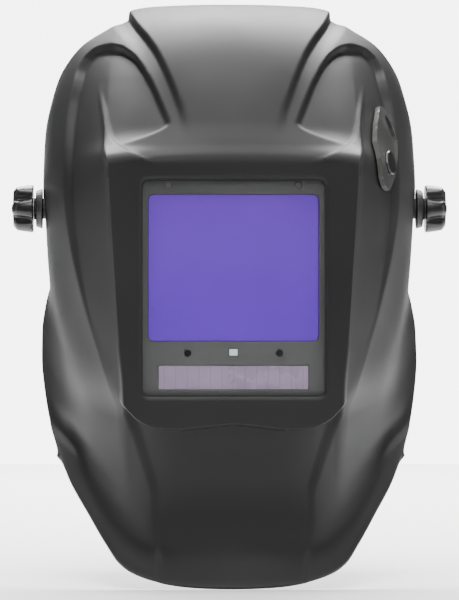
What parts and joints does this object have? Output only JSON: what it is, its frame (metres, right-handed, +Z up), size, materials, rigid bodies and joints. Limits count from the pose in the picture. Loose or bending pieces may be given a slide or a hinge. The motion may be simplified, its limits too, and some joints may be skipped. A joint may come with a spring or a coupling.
{
  "type": "welding helmet",
  "caption": "Auto-darkening welding helmet: moulded tilting shell with a large filter window, side pivots with tension knobs, grind switch, and adjustable ratchet headgear.",
  "frame": {"origin": "midpoint between the two tilt pivots, at the wearer's temples", "axes": "+Z up; the window faces -Y; X runs through both tilt pivots, +X on the grind switch side, which is the wearer's left"},
  "size_m": [0.2704, 0.2604, 0.3561],
  "materials": {
    "nylon_shell": "satin",
    "black_plastic": "matte",
    "gloss_black": "gloss",
    "grey_plastic": "satin",
    "rubber": "matte",
    "foam": "soft padded cloth",
    "clear_lens": "gloss",
    "filter_glass": "violet mirror coating",
    "solar_cell": "gloss",
    "light_pipe": "gloss",
    "lcd_readout": "gloss",
    "circuit_board": "satin",
    "steel": "satin"
  },
  "bodies": {
    "headgear": {"brow_band": "black_plastic", "sweatband": "foam", "crown_strap_front": "black_plastic", "crown_strap_rear": "black_plastic", "crown_bridge": "black_plastic", "side_bracket_left": "black_plastic", "side_bracket_right": "black_plastic"},
    "carriage": {"pivot_bolt_left": "steel", "pivot_bolt_right": "steel", "pivot_block_left": "grey_plastic", "pivot_block_right": "grey_plastic", "spacer_cone_left": "black_plastic", "spacer_cone_right": "black_plastic", "tension_washer_left": "rubber", "tension_washer_right": "rubber"},
    "shell": {"helmet_shell": "nylon_shell", "lens_gasket": "rubber", "cover_lens": "clear_lens", "window_frame": "black_plastic", "adf_front_case": "grey_plastic", "filter_glass": "filter_glass", "solar_cell": "solar_cell", "arc_sensor_1": "gloss_black", "arc_sensor_2": "gloss_black", "arc_sensor_3": "gloss_black", "arc_sensor_4": "gloss_black", "led_light_pipe": "light_pipe", "adf_rear_case": "black_plastic", "lcd_cell": "filter_glass", "circuit_board": "circuit_board", "inner_lens": "clear_lens", "cartridge_retainer": "black_plastic", "control_housing": "black_plastic", "lcd_readout": "lcd_readout", "battery_left": "steel", "battery_right": "steel", "grind_plate": "nylon_shell", "grind_switch": "black_plastic", "grind_lead": "rubber", "shell_bush_left": "black_plastic", "shell_bush_right": "black_plastic"},
    "knob_left": {"tension_knob_left": "gloss_black"},
    "knob_right": {"tension_knob_right": "gloss_black"},
    "shade_key": {"shade_button": "grey_plastic"},
    "sensitivity_key": {"sensitivity_button": "grey_plastic"},
    "delay_key": {"delay_button": "grey_plastic"},
    "grind_key": {"grind_button": "gloss_black"},
    "cap_left": {"battery_cap_left": "grey_plastic"},
    "cap_right": {"battery_cap_right": "grey_plastic"},
    "rear_cradle": {"rear_band": "black_plastic", "nape_pad": "foam", "ratchet_housing": "black_plastic"},
    "ratchet": {"ratchet_knob": "black_plastic", "ratchet_pinion": "grey_plastic"}
  },
  "joints": [
    {"name": "reach_slide", "type": "slide", "parent": "headgear", "child": "carriage", "axis": [0, 1, 0], "range_m": [-0.012, 0.012]},
    {"name": "shell_tilt", "type": "hinge", "parent": "carriage", "child": "shell", "pos_m": [0, 0, 0], "axis": [-1, 0, 0], "range_deg": [0, 75]},
    {"name": "knob_left_turn", "type": "hinge", "parent": "carriage", "child": "knob_left", "pos_m": [0.129, 0, 0], "axis": [1, 0, 0], "range_deg": [-180, 180]},
    {"name": "knob_right_turn", "type": "hinge", "parent": "carriage", "child": "knob_right", "pos_m": [-0.129, 0, 0], "axis": [-1, 0, 0], "range_deg": [-180, 180]},
    {"name": "shade_press", "type": "slide", "parent": "shell", "child": "shade_key", "axis": [0, -1, 0], "range_m": [0, 0.0012], "stiffness_N_per_m": 300, "springref_m": -0.002},
    {"name": "sensitivity_press", "type": "slide", "parent": "shell", "child": "sensitivity_key", "axis": [0, -1, 0], "range_m": [0, 0.0012], "stiffness_N_per_m": 300, "springref_m": -0.002},
    {"name": "delay_press", "type": "slide", "parent": "shell", "child": "delay_key", "axis": [0, -1, 0], "range_m": [0, 0.0012], "stiffness_N_per_m": 300, "springref_m": -0.002},
    {"name": "grind_press", "type": "slide", "parent": "shell", "child": "grind_key", "axis": [-0.8659, 0.4098, -0.2867], "range_m": [0, 0.0012], "stiffness_N_per_m": 300, "springref_m": -0.002},
    {"name": "cap_left_twist", "type": "hinge", "parent": "shell", "child": "cap_left", "pos_m": [0.037, -0.102, -0.0995], "axis": [0, 1, 0], "range_deg": [0, 60]},
    {"name": "cap_right_twist", "type": "hinge", "parent": "shell", "child": "cap_right", "pos_m": [-0.037, -0.102, -0.0995], "axis": [0, 1, 0], "range_deg": [0, 60]},
    {"name": "cradle_slide", "type": "slide", "parent": "headgear", "child": "rear_cradle", "axis": [0, -1, 0], "range_m": [-0.012, 0.012]},
    {"name": "ratchet_turn", "type": "hinge", "parent": "rear_cradle", "child": "ratchet", "pos_m": [0, 0.12, -0.042], "axis": [0, 1, 0], "range_deg": [-180, 180]}
  ],
  "couplings": [
    {"joint": "ratchet_turn", "follows": "cradle_slide", "rad_per_m": 261}
  ]
}
